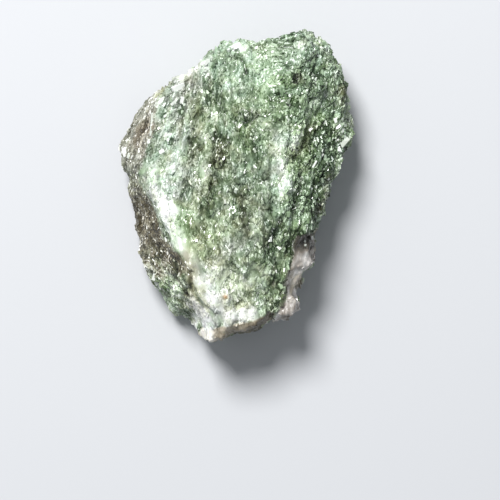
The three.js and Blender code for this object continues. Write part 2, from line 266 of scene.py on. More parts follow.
OCHRE = [
    ([(9.7, 10.5), (9.9, 5.5)], 0.6, 0.45),
    ([(-7.7, 7.5), (-5.9, 9.0)], 0.3, 0.9),
    ([(-10.2, 4.4), (-10.1, 3.8)], 0.35, 0.9),
    ([(-1.3, 3.2), (-1.5, 2.2)], 0.8, 0.7),
    ([(-5.6, 2.7)], 0.35, 0.6),
    ([(-4.2, 8.0), (-3.4, 6.8), (-3.6, 2.0)], 0.6, 0.35),
    ([(5.4, 9.4)], 0.6, 0.6),
    ([(5.8, 12.4)], 0.5, 0.5),
    ([(5.6, -5.2), (6.8, -5.2)], 0.4, 0.4),
    ([(7.0, 5.2), (5.0, 2.4)], 0.5, 0.5),
    ([(0.6, -1.0), (1.0, -4.0)], 0.6, 0.4),
    ([(-3.6, -5.4), (-2.8, -3.4)], 0.8, 0.4),
    ([(-2.0, -5.5), (0.0, -9.0), (0.4, -10.4)], 1.2, 0.4),
    ([(-3.8, -8.2), (-3.3, -9.9), (-2.3, -10.8)], 0.25, 0.7),
]
RUST = [([(-0.8, -9.7)], 0.22, 0.9)]
BEIGE = [
    ([(-8.8, 4.0), (-7.8, 5.6)], 0.9, 0.9),
    ([(-4.3, -6.2), (-3.5, -8.2)], 0.6, 0.7),
    ([(-3.75, -9.3), (-3.4, -10.8)], 0.7, 0.7),
    ([(5.2, -7.7), (5.1, -9.2)], 0.5, 1.3),
    ([(8.4, 0.8), (7.6, -2.2)], 0.5, 0.5),
    ([(-4.4, 9.2), (-3.2, 11.0)], 0.5, 0.4),
]

# Where the rock is broken into coarse bits of brown, green and white.
COARSE = [([(-7.6, -6.6), (-6.2, -8.4), (-4.8, -10.2)], 1.4, 1.2)]

# Where the rock is milky and smooth instead of granular.
MILKY = [
    ([(-7.4, 1.6), (-7.0, 0.0), (-6.0, -2.2), (-5.2, -4.8)], 0.8, 0.6),
    ([(-4.4, -5.8), (-3.2, -7.4), (-2.2, -9.6), (-1.6, -10.8)], 1.1, 1.0),
    ([(0.4, -11.2), (1.4, -11.6)], 0.8, 0.7),
    ([(-2.5, -12.4), (-3.2, -10.6)], 0.8, 1.0),
    ([(0.33, 12.3)], 0.5, 0.8),
    ([(5.7, 12.3)], 0.6, 0.9),
    ([(-3.0, 11.2), (-4.6, 9.6)], 0.4, 0.6),
    ([(3.9, 4.4), (3.8, 2.0)], 0.6, 0.5),
    ([(2.0, -7.0), (1.0, -9.0)], 1.0, 0.3),
    ([(5.4, -5.3), (6.9, -5.4)], 0.5, 1.0),
]

# Crystals that stand out: where, length, width, the way it lies from +Y towards +X, and tone.
CRYSTALS = [
    (-7.1, -8.0, 0.7, 0.5, 20, 0.85),
    (-6.85, -8.5, 0.6, 0.4, 60, 0.8),
    (-6.7, -8.9, 0.5, 0.25, -20, 0.85),
    (-9.75, 3.1, 0.85, 0.5, -15, 0.9),
    (-9.4, 2.75, 0.5, 0.3, 20, 0.75),
    (9.7, 3.9, 1.0, 0.4, 42, 0.7),
    (8.9, 5.8, 0.45, 0.25, -20, 0.85),
    (9.15, 5.2, 0.5, 0.22, 50, 0.85),
    (9.5, 4.9, 0.4, 0.2, 20, 0.8),
    (0.2, 12.2, 0.7, 0.5, 70, 0.85),
    (-2.5, 10.8, 0.7, 0.3, 40, 0.85),
    (-3.3, 10.3, 0.6, 0.3, 45, 0.9),
    (-3.9, 9.7, 0.8, 0.35, 40, 0.85),
    (-4.95, 8.6, 1.2, 0.45, 72, 0.9),
    (-4.5, 7.45, 0.65, 0.5, 10, 0.9),
    (-5.75, 6.35, 1.2, 0.2, 55, 0.85),
    (-5.3, 7.3, 0.7, 0.2, 38, 0.85),
    (-6.45, 7.35, 1.3, 0.5, 42, 0.8),
    (-7.2, 5.9, 1.1, 0.3, 2, 0.75),
    (-7.3, 4.9, 1.0, 0.28, 6, 0.75),
    (-6.35, 3.0, 0.45, 0.35, 60, 0.95),
    (-7.5, 3.9, 0.4, 0.3, 30, 0.9),
    # painted highlight: this white crystal stands in for a glint on the ledge's glassy end
    (6.8, -4.55, 0.34, 0.24, 0, 1.0),
    (6.15, -4.85, 0.2, 0.2, 30, 0.75),
    (6.2, -5.2, 0.22, 0.2, 10, 0.7),
    (7.0, 1.9, 0.7, 0.16, 30, 0.9),
    (7.6, 2.6, 0.6, 0.14, 42, 0.9),
    (8.2, 0.8, 0.5, 0.14, -20, 0.9),
]


# ---------------------------------------------------------------------------------------------
# Selecting, measuring and shaping

def only(piece):
    """Makes one object the selected and active one."""
    for other in list(bpy.context.selected_objects):
        other.select_set(False)
    bpy.context.view_layer.objects.active = piece
    piece.select_set(True)


def apply_modifier(piece, kind, **settings):
    """Adds a modifier with these settings, and applies it."""
    only(piece)
    modifier = piece.modifiers.new("work", kind)
    for name, value in settings.items():
        setattr(modifier, name, value)
    bpy.ops.object.modifier_apply(modifier=modifier.name)


def places(piece):
    """The vertices of a piece, in millimetres, one row each."""
    found = np.empty(len(piece.data.vertices) * 3, np.float32)
    piece.data.vertices.foreach_get("co", found)
    return found.reshape(-1, 3).astype(float) / MM


def facings(piece):
    """Which way the surface faces at each vertex of a piece."""
    found = np.empty(len(piece.data.vertices) * 3, np.float32)
    piece.data.vertex_normals.foreach_get("vector", found)
    return found.reshape(-1, 3).astype(float)


def select_vertices(piece, chosen):
    """Goes into edit mode with these vertices selected."""
    only(piece)
    bpy.context.tool_settings.mesh_select_mode = (True, False, False)
    piece.data.edges.foreach_set("select", np.zeros(len(piece.data.edges), bool))
    piece.data.polygons.foreach_set("select", np.zeros(len(piece.data.polygons), bool))
    piece.data.vertices.foreach_set("select", chosen)
    bpy.ops.object.mode_set(mode="EDIT")


def away_from(line, at):
    """How far each place is from a line of points, seen from above."""
    at = at[:, :2]
    starts = [np.array(p, float) for p in line]
    if len(starts) == 1:
        return np.linalg.norm(at - starts[0], axis=1)
    nearest = np.full(len(at), np.inf)
    for start, end in zip(starts, starts[1:]):
        along = end - start
        share = np.clip((at - start) @ along / (along @ along), 0, 1)
        nearest = np.minimum(nearest, np.linalg.norm(at - start - share[:, None] * along, axis=1))
    return nearest


def step(low, high, value):
    """0 below low, 1 above high, and a smooth rise between them."""
    share = np.clip((value - low) / (high - low), 0, 1)
    return share * share * (3 - 2 * share)


def above_waist(at):
    """How far each place is above the stone's widest level."""
    return at[:, 2] - at @ (WAIST_RISE_X, WAIST_RISE_Y, 0) - WAIST_HEIGHT


def patches(at, listed):
    """The sum of the patches at each place. They fade out towards the waist."""
    found = sum(amount * np.exp(-((away_from(line, at) / reach) ** 2)) for line, reach, amount in listed)
    return found * step(-0.5, 2.5, above_waist(at))


def beyond(edge, at):
    """How far each place is to the left of an edge that is listed from high Y to low Y."""
    upwards = edge[::-1]
    return np.interp(at[:, 1], [y for _, y in upwards], [x for x, _ in upwards]) - at[:, 0]


def sides(at):
    """How far to the left and to the right each place is, each from 0 to 1."""
    return step(0.0, -8.0, at[:, 0]), step(2.0, 6.0, at[:, 0])


def laid_out(at):
    """The places in a space where the rock's grain runs straight along Y."""
    left, right = sides(at)
    y = at[:, 1]
    bend = (
        LEFT_BEND * left * (y - STRAIGHTEST_Y) ** 2
        + RIGHT_LEAN * right * y
        + MIDDLE_LEAN * (1 - left) * (1 - right) * y
    )
    return np.stack([at[:, 0] - bend, y, at[:, 2]], 1)


def grain_way(at):
    """Which way the rock's grain runs at each place."""
    left, right = sides(at)
    slope = (
        2 * LEFT_BEND * left * (at[:, 1] - STRAIGHTEST_Y)
        + RIGHT_LEAN * right
        + MIDDLE_LEAN * (1 - left) * (1 - right)
    )
    way = np.stack([slope, np.ones(len(at)), np.zeros(len(at))], 1)
    return way / np.linalg.norm(way, axis=1)[:, None]


SEED_STRIDE = 17.3  # how far the noise of one seed is from the next, in lumps
RIDGE_KIND = (1, 2, 3, 1, 2)  # how fast finer ridges fade, their ratio, octaves, offset and gain


def spots(at, size, seed, drawn_out):
    """Places in a space whose lumps are 1 wide, drawn out along the rock's grain."""
    return [Vector(s) for s in laid_out(at) / (size, drawn_out * size, size) + SEED_STRIDE * seed]


def clouds(at, size, seed, drawn_out=1.0):
    """Smooth noise, from about -1 to 1."""
    return 1.5 * np.array([noise.noise(spot) for spot in spots(at, size, seed, drawn_out)])


def ridges(at, size, seed, drawn_out):
    """Sharp ridges with round hollows between them, from about -1 to 1."""
    found = [noise.ridged_multi_fractal(spot, *RIDGE_KIND) for spot in spots(at, size, seed, drawn_out)]
    return (np.array(found) - 1) * 1.4


def facets(at, size, seed, drawn_out):
    """Flat, tilted faces of broken grains, from about -1 to 1."""
    found = []
    for spot in spots(at, size, seed, drawn_out):
        middle = noise.voronoi(spot)[1][0]
        tilt = noise.cell_vector(middle * 37) - Vector((0.5, 0.5, 0.5))  # each grain has its own
        found.append((spot - middle).dot(tilt) * 2.5 + tilt.z)
    return np.array(found)


def layered(at, layers):
    """The sum of layers of noise at each place."""
    return sum(height * kind(at, size, seed, drawn_out) for height, kind, size, seed, drawn_out in layers)


# ---------------------------------------------------------------------------------------------
# The skin

SKIN_CELL = 0.135  # how fine the skin is, in millimetres
SKIN_SMOOTHING = 6  # rounds, which take the cells' steps away
BASE_CALM = 1.0  # the roughness fades out below this height, so that the base stays flat
FLAT_BASE = 0.04  # all that is lower than this stays on the floor
INSIDE = 0.08  # how far the skin is drawn in, to leave room for the grains

# What a swelling takes along, as shares of its reach: its core, and all that follows the core.
SWELL_CORE = 0.3
SWELL_EDGE = 1.4
UPWARDS = 0.2  # the least upward part of a direction that counts as facing up

# The roughness of each kind of rock, in layers of noise: the height in millimetres, the kind, the
# width of its lumps, the seed, and how far the lumps are drawn out along the grain.
ROCK = [
    (0.26, ridges, 1.3, 1, 6),
    (0.3, clouds, 1.2, 12, 6),
    (0.22, clouds, 2.0, 2, 1),
    (0.18, facets, 0.9, 3, 2.4),
    (0.14, facets, 0.45, 4, 2),
    (0.06, clouds, 0.35, 5, 1),
]
MILKY_ROCK = [(0.3, clouds, 1.5, 13, 1.6), (0.12, facets, 1.1, 14, 1), (0.04, clouds, 0.4, 15, 1)]
PINK_ROCK = [(0.3, clouds, 1.3, 6, 1), (0.12, clouds, 0.6, 7, 1), (0.08, facets, 0.7, 8, 1)]
CRUST = [(0.24, clouds, 1.6, 9, 1), (0.14, facets, 0.8, 10, 2), (0.06, clouds, 0.4, 11, 1)]
MILK_SHARE = 0.85  # of milky rock's own roughness; the rest is the green rock's
COARSE_ROCK = [(0.2, clouds, 1.1, 16, 1), (0.22, facets, 0.7, 17, 1), (0.14, facets, 0.4, 18, 1)]

# The same for the tone: streaks in the green rock, clouds in the pale matrix, and coarse bits.
STREAKS = [(0.11, clouds, 0.75, 25, 6), (0.07, clouds, 1.2, 29, 2), (0.08, clouds, 0.4, 26, 2.5)]
PALE_CLOUDS = [(0.1, clouds, 0.5, 35, 1), (0.08, clouds, 1.2, 45, 1)]
COARSE_SPECKS = [(0.2, clouds, 0.45, 37, 1.3)]

MEAN_TONE = 0.55  # of plain green rock; 0 is black and 1 is white
END_WALL_PAINTED_SHADE = -0.17  # painted shade: what the steep end wall's tone is changed by, at the middle
END_WALL_SHADING = -0.12  # more painted shade for each millimetre of X
END_WALL_DARKEST = 2.0  # where the painted shade on the end wall is darkest

# How far the edges of patches stray along X, Y and Z.
WOBBLE = [
    [(0.4, clouds, 1.2, 21, 1), (0.15, clouds, 0.4, 23, 1)],
    [(0.4, clouds, 1.2, 22, 1)],
    [(1.2, clouds, 2.0, 28, 1)],
]


def stone_skin():
    """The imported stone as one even, closed mesh, fine enough to carry its lumps and hollows."""
    skin = bpy.data.objects.new("stone_skin", frame["nodes"]["diopside_stone"].data.copy())
    bpy.context.scene.collection.objects.link(skin)
    skin.data.materials.clear()
    only(skin)
    bpy.ops.object.mode_set(mode="EDIT")
    bpy.ops.mesh.select_all(action="SELECT")
    bpy.ops.mesh.remove_doubles(threshold=0.001 * MM)
    bpy.ops.object.mode_set(mode="OBJECT")
    apply_modifier(skin, "REMESH", mode="VOXEL", voxel_size=SKIN_CELL * MM)
    apply_modifier(skin, "SMOOTH", factor=0.5, iterations=SKIN_SMOOTHING)
    return skin


def swell(skin, line, reach, height):
    """Raises the broad face along a line, or sinks it where height is below 0."""
    near = away_from(line, places(skin)) < max(SWELL_CORE * reach, SKIN_CELL)
    select_vertices(skin, near & (facings(skin)[:, 2] > UPWARDS))
    bpy.ops.transform.shrink_fatten(
        value=-height * MM, use_proportional_edit=True,
        proportional_edit_falloff="SMOOTH", proportional_size=SWELL_EDGE * reach * MM,
    )
    bpy.ops.object.mode_set(mode="OBJECT")


def relief(at, ledge, weathered, milky, coarse):
    """How far the break stands out at each place, in millimetres."""
    shown = layered(at, ROCK)
    shown = shown + MILK_SHARE * milky * (layered(at, MILKY_ROCK) - shown)
    shown = shown + ledge * (layered(at, PINK_ROCK) - shown)
    shown = shown + weathered * (1 - ledge) * (layered(at, CRUST) - shown)
    shown = shown + coarse * (layered(at, COARSE_ROCK) - shown)
    return shown * (1 - 0.8 * ledge * milky)  # the ledge's glassy end is the smoothest


def end_wall_painted_shade(at):
    """Painted shade on the steep end wall, darker from left to right. It is paler beside the ledge, and low
    down.
    """
    darkening = END_WALL_PAINTED_SHADE + END_WALL_SHADING * np.minimum(at[:, 0], END_WALL_DARKEST)
    darkening = darkening + 0.3 * step(2.3, 3.0, at[:, 0])
    return darkening * step(-1.5, 0.5, above_waist(at))


def pale_sides(at, ledge, end_wall):
    """The ledge and the end wall, as they are high up, carried on by ragged patches low down."""
    low = step(1.5, -0.5, above_waist(at))
    # The patches thin out away from their line, and they are pink on the ledge's side.
    away = away_from(LOW_MATRIX, at) + 0.8 * np.maximum(-above_waist(at), 0)
    found = step(-0.12, 0.12, 0.65 + 1.8 * clouds(at, 1.9, 48) + 0.8 * clouds(at, 0.7, 49) - away / 1.6)
    pink = step(2.7, 3.3, at[:, 0] + 1.6 * clouds(at, 1.5, 46))
    return ledge + low * (found * pink - ledge), end_wall + low * (found * (1 - pink) - end_wall)


def on_pale_sides(at):
    """1 on the pink ledge, and 1 on the smooth wall at the narrow end."""
    ledge = step(0.15, -0.15, beyond(LEDGE_EDGE, at)) * step(-4.0, -4.5, at[:, 1])
    rim = np.interp(at[:, 0], [x for x, _ in END_WALL_EDGE], [y for _, y in END_WALL_EDGE])
    across = step(-3.7, -3.4, at[:, 0]) * step(3.5, 3.2, at[:, 0])  # from one corner to the other
    return pale_sides(at, ledge, step(0.1, -0.1, at[:, 1] - rim) * across)


def on_weathered(at):
    """1 on the weathered side, and 0 on the broad face."""
    return step(-0.15, 0.25, beyond(WEATHERED_EDGE, at))


def gape(at):
    """How deep into a crack each place is, in millimetres; 0 away from the cracks."""
    wavering = at + 0.1 * np.stack([clouds(at, 0.6, 41), clouds(at, 0.6, 42), 0 * at[:, 0]], 1)
    return sum(
        depth * np.clip(1 - away_from(line, wavering) / (CRACK_WIDTH / 2), 0, 1) for line, depth in CRACKS
    )


skin = stone_skin()
for line, reach, height in RELIEF:
    swell(skin, line, reach, height)

smooth_at = places(skin)
ledge, end_wall = on_pale_sides(smooth_at)
smooth_wall = end_wall * (0.5 + 0.5 * step(-1.0, 1.0, above_waist(smooth_at)))
milky = np.clip(patches(smooth_at, MILKY) + smooth_wall, 0, 1)
coarse = np.clip(patches(smooth_at, COARSE), 0, 1)
raised = relief(smooth_at, ledge, on_weathered(smooth_at), milky, coarse) - gape(smooth_at)
out = (raised - INSIDE) * step(0.0, BASE_CALM, smooth_at[:, 2])
moved = smooth_at + facings(skin) * out[:, None]
moved[:, 2] = np.where(smooth_at[:, 2] < FLAT_BASE, 0, np.maximum(moved[:, 2], 0))
skin.data.vertices.foreach_set("co", (moved * MM).astype(np.float32).ravel())
skin.data.update()
only(skin)
bpy.ops.object.shade_smooth()

# ---------------------------------------------------------------------------------------------
# What the skin is made of, place by place

at = places(skin)
wobble = np.stack([layered(at, layers) for layers in WOBBLE], 1)
low = step(3.0, 0.0, above_waist(at))  # the sides, where patches stray further
crisp = sides(at)[1] * step(-5.0, -1.0, at[:, 1])  # the dark side, where faces glitter most
wandering = at + (1 + 2.5 * low[:, None]) * wobble

weathered = on_weathered(at + 0.5 * wobble) * step(-8.6, -6.6, at[:, 1] + 1.2 * clouds(at, 1.0, 24))
ledge, end_wall = on_pale_sides(at + (0.3 + 2.5 * low[:, None]) * wobble)
upper_crust = weathered * step(0.0, 3.0, at[:, 1])
minty = np.clip(patches(wandering, MINT), 0, 1)
drift = clouds(at, 0.8, 32) + 0.5 * clouds(at, 2.0, 36)  # from olive below 0 to mint above it
hollow = step(0.15, 0.7, -raised)
# Where grains show one by one, and not as a smooth mass.
busy = np.maximum(step(-0.5, 0.1, clouds(at, 1.0, 31, drawn_out=1.8)), 0.85 * crisp)
tone = (
    MEAN_TONE
    + patches(wandering, TONES)
    + patches(at, SMALL_TONES)
    # painted shade on the end wall
    + end_wall * end_wall_painted_shade(at)
    + 0.2 * np.clip(raised, -0.8, 0.8) * (1 - ledge)  # painted shade in hollows, and painted light on raised parts
    + 0.13 * low * clouds(at, 2.6, 39)  # broad clouds on the sides
    + (1 - 0.6 * milky) * layered(at, STREAKS)
    - 0.1 * (1 - busy) * (1 - milky)  # smooth masses are darker
    + 0.06 * ledge
    + layered(at, PALE_CLOUDS) * (ledge + 1.3 * end_wall)
    + layered(at, COARSE_SPECKS) * coarse
    - 0.17 * weathered
    + 0.05 * upper_crust
    # painted shade in the cracks, darker the deeper they are
    - 1.3 * gape(at)
)
# Painted light: the strip above the ledge lies in shade, and a lowest tone keeps it dark but never black.
painted_light_floor = 0.27 * step(-1.0, -3.0, at[:, 1]) * step(1.5, 2.5, at[:, 0]) * (1 - ledge)
tone = np.maximum(tone, painted_light_floor)
green_crust = 1 - 0.8 * upper_crust

# What the materials read: the tone, how much it and the faces vary, how coarse they are, and how
# much of each colour there is.
attributes = {
    "tone": tone,
    "lively": (  # less where rock is smooth, more where it is dark or coarse, little in cracks
        (1 - np.clip(0.7 * milky + 0.75 * ledge + 0.5 * (1 - busy), 0, 0.9))
        * (1 + 0.5 * step(0.5, 0.3, tone) + 0.3 * coarse + 1.1 * crisp)
        * (1 - 0.8 * step(0.1, 0.3, gape(at)))
    ),
    "grey": patches(wandering, GREY) + 0.4 * step(0.1, 0.7, clouds(at, 1.0, 34)) + 0.9 * upper_crust,
    "coarse": np.maximum(coarse, 0.4 * crisp),
    "mint": (minty * (0.6 + 0.4 * step(-0.3, 0.5, drift)) + 0.4 * step(0.1, 0.6, drift)) * green_crust,
    "rich": (patches(wandering, RICH_GREEN) + 0.4 * step(0.1, 0.6, clouds(at, 0.9, 30))) * green_crust,
    "brown": (
        weathered * (0.5 + 0.5 * step(2.0, -2.0, at[:, 1]) - 0.25 * coarse)
        + 0.35 * coarse * step(0.0, 0.4, clouds(at, 0.7, 38))
    ),
    "beige": (
        patches(wandering, BEIGE)
        + end_wall * (0.5 + 0.5 * step(-0.5, 1.5, above_waist(at)))
        + 0.8 * ledge * low * step(-0.1, 0.4, clouds(at, 1.4, 50))
    ),
    "ochre": (
        patches(wandering, OCHRE)
        + (1 - 0.8 * minty) * (1 - ledge) * (
            0.4 * hollow * step(-0.1, 0.5, clouds(at, 1.6, 27))
            + 0.35 * step(-0.2, -0.7, drift) * (1 - 0.6 * weathered)
        )
    ),
    "ledge": ledge,
    "rust": patches(at, RUST),
}
for name, values in attributes.items():
    skin.data.attributes.new(name, "FLOAT", "POINT").data.foreach_set("value", values.astype(np.float32))
for name, values in {"laid_out": laid_out(at), "way": grain_way(at)}.items():
    skin.data.attributes.new(name, "FLOAT_VECTOR", "POINT").data.foreach_set(
        "vector", values.astype(np.float32).ravel()
    )


# ---------------------------------------------------------------------------------------------
# Nodes: maths on values is written as plain expressions

class Value:
    """What comes out of one socket of a node tree."""

    def __init__(self, nodes, socket):
        self.nodes = nodes
        self.socket = socket

    def __add__(self, other):
        return self.nodes.maths("ADD", self, other)

    def __radd__(self, other):
        return self.nodes.maths("ADD", other, self)

    def __sub__(self, other):
        return self.nodes.maths("SUBTRACT", self, other)

    def __rsub__(self, other):
        return self.nodes.maths("SUBTRACT", other, self)

    def __mul__(self, other):
        return self.nodes.maths("MULTIPLY", self, other)

    def __rmul__(self, other):
        return self.nodes.maths("MULTIPLY", other, self)

    def __mod__(self, other):
        return self.nodes.maths("MODULO", self, other)


class Nodes:
    """Adds nodes to one tree."""

    def __init__(self, tree):
        self.tree = tree

    def plug(self, socket, value):
        """Sets a socket to a value, or links it to one that comes out of another socket."""
        if isinstance(value, Value):
            self.tree.links.new(value.socket, socket)
        else:
            socket.default_value = value

    def add(self, kind, settings=None, inputs=None, output=0):
        """A node of this type: its settings first, then its sockets' values or links."""
        node = self.tree.nodes.new(kind)
        for name, value in (settings or {}).items():
            if name == "stops":
                self.set_stops(node.color_ramp, value)
            else:
                setattr(node, name, value)
        for name, value in (inputs or {}).items():
            self.plug(node.inputs[name], value)
        return Value(self, node.outputs[output]) if node.outputs else None

    def set_stops(self, ramp, stops):
        """Gives a colour ramp these stops."""
        while len(ramp.elements) < len(stops):
            ramp.elements.new(1)
        for element, (position, colour) in zip(ramp.elements, stops):
            element.position = position
            element.color = (*colour, 1)

    def maths(self, operation, *values):
        return self.add("ShaderNodeMath", {"operation": operation}, dict(enumerate(values)))

    def vectors(self, operation, *values):
        return self.add("ShaderNodeVectorMath", {"operation": operation}, dict(enumerate(values)))

    def mix(self, share, first, second):
        """A colour between two others."""
        settings = {"data_type": "RGBA", "clamp_factor": True}
        return self.add("ShaderNodeMix", settings, {0: share, 6: first, 7: second}, output=2)

    def attribute(self, name, output="Fac"):
        """What a piece's mesh says under this name."""
        return self.add("ShaderNodeAttribute", {"attribute_name": name}, output=output)

    def other(self, value, output):
        """Another output of the node that a value comes from."""
        return Value(self, value.socket.node.outputs[output])


# Colours from dark to light: the tone each belongs to, and its colour.
GREENS = [
    (0.0, (0.01, 0.018, 0.007)),
    (0.2, (0.04, 0.068, 0.029)),
    (0.4, (0.134, 0.188, 0.1)),
    (0.6, (0.35, 0.436, 0.285)),
    (0.8, (0.61, 0.71, 0.55)),
    (1.0, (0.9, 0.93, 0.87)),
]
MINTS = [
    (0.0, (0.01, 0.019, 0.009)),
    (0.2, (0.038, 0.067, 0.034)),
    (0.4, (0.13, 0.195, 0.122)),
    (0.6, (0.325, 0.445, 0.32)),
    (0.8, (0.59, 0.72, 0.6)),
    (1.0, (0.88, 0.94, 0.9)),
]
GREYS = [
    (0.0, (0.014, 0.016, 0.012)),
    (0.2, (0.05, 0.058, 0.043)),
    (0.4, (0.155, 0.172, 0.14)),
    (0.6, (0.39, 0.41, 0.365)),
    (0.8, (0.68, 0.7, 0.66)),
    (1.0, (0.93, 0.94, 0.92)),
]
RICH_GREENS = [
    (0.0, (0.008, 0.018, 0.004)),
    (0.2, (0.036, 0.068, 0.02)),
    (0.4, (0.125, 0.195, 0.082)),
    (0.6, (0.33, 0.455, 0.255)),
    (0.8, (0.58, 0.72, 0.49)),
    (1.0, (0.86, 0.93, 0.8)),
]
BEIGES = [
    (0.0, (0.045, 0.036, 0.022)),
    (0.3, (0.145, 0.12, 0.08)),
    (0.5, (0.29, 0.25, 0.18)),
    (0.75, (0.6, 0.54, 0.43)),
    (1.0, (0.9, 0.87, 0.8)),
]
BROWNS = [
    (0.0, (0.02, 0.018, 0.01)),
    (0.2, (0.072, 0.061, 0.036)),
    (0.4, (0.175, 0.156, 0.103)),
    (0.6, (0.345, 0.325, 0.248)),
    (0.8, (0.62, 0.61, 0.53)),
    (1.0, (0.88, 0.88, 0.82)),
]
OCHRES = [
    (0.0, (0.022, 0.022, 0.008)),
    (0.4, (0.15, 0.155, 0.075)),
    (0.7, (0.46, 0.49, 0.3)),
    (1.0, (0.86, 0.88, 0.7)),
]
PINKS = [
    (0.0, (0.075, 0.066, 0.054)),
    (0.35, (0.235, 0.203, 0.173)),
    (0.6, (0.465, 0.433, 0.395)),
    (0.8, (0.695, 0.672, 0.637)),
    (1.0, (0.9, 0.89, 0.87)),
]
RUST_COLOUR = (0.5, 0.25, 0.08, 1)

DIOPSIDE_IOR = 1.67

# Crystal faces in the skin, in three sizes: their width, and how far they are drawn out.
LARGE_FACES = (0.5, 1.8)
MIDDLING_FACES = (0.2, 1.6)
SMALL_FACES = (0.1, 1.6)
BROKEN_UP = 0.8  # the share of large faces that are broken up into small ones


def ramp(nodes, stops, tone):
    """The colour that belongs to a tone."""
    return nodes.add("ShaderNodeValToRGB", {"stops": stops}, {"Fac": tone}, output="Color")


def rock_colour(nodes, tone):
    """The colour of the rock at this tone, by what it is made of there."""
    colour = ramp(nodes, GREENS, tone)
    for name, stops in (
        ("grey", GREYS), ("mint", MINTS), ("rich", RICH_GREENS),
        ("brown", BROWNS), ("ledge", PINKS), ("beige", BEIGES), ("ochre", OCHRES),
    ):
        colour = nodes.mix(nodes.attribute(name), colour, ramp(nodes, stops, tone))
    return nodes.mix(nodes.attribute("rust"), colour, RUST_COLOUR)


def new_material(name):
    """A material, what adds nodes to it, and its shader's sockets."""
    material = bpy.data.materials.new(name)
    material.use_nodes = True
    return material, Nodes(material.node_tree), material.node_tree.nodes["Principled BSDF"].inputs


def crystal_faces(nodes, place, size, drawn_out):
    """Flat crystal faces of this width: a random number for each one, and the way it is tilted."""
    scaled = nodes.vectors("DIVIDE", place, (size, drawn_out * size, size))
    cell = nodes.add("ShaderNodeTexVoronoi", {"feature": "F1"}, {"Vector": scaled, "Scale": 1.0}, "Color")
    # The cell's random colour gives the tilt, and two parts of it are mixed into another number.
    split = nodes.add("ShaderNodeSeparateColor", inputs={"Color": cell}, output="Red")
    luck = (7.3 * split + 5.1 * nodes.other(split, "Green")) % 1
    return luck, nodes.vectors("SUBTRACT", cell, (0.5, 0.5, 0.5))


def skin_material():
    """Rock of crystal faces in three sizes, each with its own tilt. A few large ones are whole."""
    material, nodes, shader = new_material("granular_rock")
    place = nodes.attribute("laid_out", "Vector")
    large, large_tilt = crystal_faces(nodes, place, *LARGE_FACES)
    middling, middling_tilt = crystal_faces(nodes, place, *MIDDLING_FACES)
    small, small_tilt = crystal_faces(nodes, place, *SMALL_FACES)
    whole = nodes.maths("GREATER_THAN", large, BROKEN_UP)
    lively = nodes.attribute("lively") * (1 - 0.7 * whole)
    fine = (0.3 * (middling - 0.5) + 0.26 * (small - 0.5)) * lively
    coarse = (0.12 + 0.2 * nodes.attribute("coarse")) * (large - 0.5)
    tone = nodes.attribute("tone") + fine + coarse
    nodes.plug(shader["Base Color"], rock_colour(nodes, tone))
    nodes.plug(shader["Roughness"], 0.2 + 0.4 * small * (1 - whole))
    shader["IOR"].default_value = DIOPSIDE_IOR
    shader["Subsurface Weight"].default_value = 0.15
    shader["Subsurface Radius"].default_value = (0.3, 0.35, 0.28)
    shader["Subsurface Scale"].default_value = 1.2 * MM
    facing = nodes.add("ShaderNodeNewGeometry", output="Normal")
    for tilt, strength in (
        (large_tilt, 0.25 + 0.35 * whole + 0.5 * nodes.attribute("coarse")),
        (middling_tilt, 0.7 * lively),
        (small_tilt, 0.7 * lively),
    ):
        facing = nodes.vectors("MULTIPLY_ADD", tilt, strength, facing)
    nodes.plug(shader["Normal"], nodes.vectors("NORMALIZE", facing))
    return material


def grain_material(name, darkest, palest, roughness=0.16):
    """The finish of loose grains. Most are about as dark as the rock around them, and a few are paler."""
    material, nodes, shader = new_material(name)
    luck = nodes.attribute("luck")
    tone = nodes.attribute("tone") + darkest + (palest - darkest) * luck * luck * luck
    nodes.plug(shader["Base Color"], rock_colour(nodes, tone))
    nodes.plug(shader["Roughness"], roughness + 0.4 * luck * luck)
    shader["IOR"].default_value = DIOPSIDE_IOR
    return material


skin.data.materials.append(skin_material())

# ---------------------------------------------------------------------------------------------
# Grains

# A grain's sides, as shares of its length, and the planes that break it: which way each faces,
# and how far it is from the middle.
GRAIN_SHAPES = {
    "block": ((1.0, 0.5, 0.4), [((1, 0.8, 0.9), 0.36)]),
    "lath": ((1.0, 0.3, 0.24), [((1, 0.5, 0.8), 0.38)]),
    "needle": ((1.0, 0.2, 0.18), [((1, -0.4, 0.6), 0.38)]),
    "wedge": ((1.0, 0.4, 0.36), [((0.15, 1, 1), 0.06)]),
    "chip": ((1.0, 0.45, 0.2), [((1, 1, 0.4), 0.34)]),
}

# A standing crystal is a flat block whose corners are broken by this many planes, each at this
# share of the way out to the corner that it faces.
CRYSTAL_THICKNESS = 0.6  # of its width
CRYSTAL_BREAKS = 7
BREAK_DEPTH = 0.74
HIGH = 20  # above the whole stone, in millimetres
CRYSTAL_LIFT = 0.08  # how far its middle is above the skin, as a share of its width
CRYSTAL_LUCK = 0.62  # paler and duller than most grains
CRYSTAL_GREY = 0.8

# The tones where one kind of grain takes over from another.
DARKEST_GREEN = 0.34
PALEST_DARK = 0.44
DARKEST_PALE = 0.52
PALEST_GREEN = 0.66

# How grains lie in the skin: the most that they roll and tip, in radians, the slimmest and the
# stoutest, and how many seats there are for each that is filled.
ROLL = 0.9
TIP = 0.3
SLIMMEST = (0.8, 0.75, 0.7)
STOUTEST = (1.2, 1.3, 1.4)
CROWDING = 1.7


def grain_shape(name, size, breaks):
    """One grain: a block that planes have broken."""
    bpy.ops.mesh.primitive_cube_add(size=1, location=(0, 0, 0))
    grain = bpy.context.object
    grain.name = name
    bpy.ops.object.mode_set(mode="EDIT")
    bpy.ops.transform.resize(value=size)
    for facing, distance in breaks:
        facing = Vector(facing).normalized()
        bpy.ops.mesh.select_all(action="SELECT")
        bpy.ops.mesh.bisect(
            plane_co=facing * distance, plane_no=facing, use_fill=True, clear_outer=True
        )
    bpy.ops.object.mode_set(mode="OBJECT")
    return grain


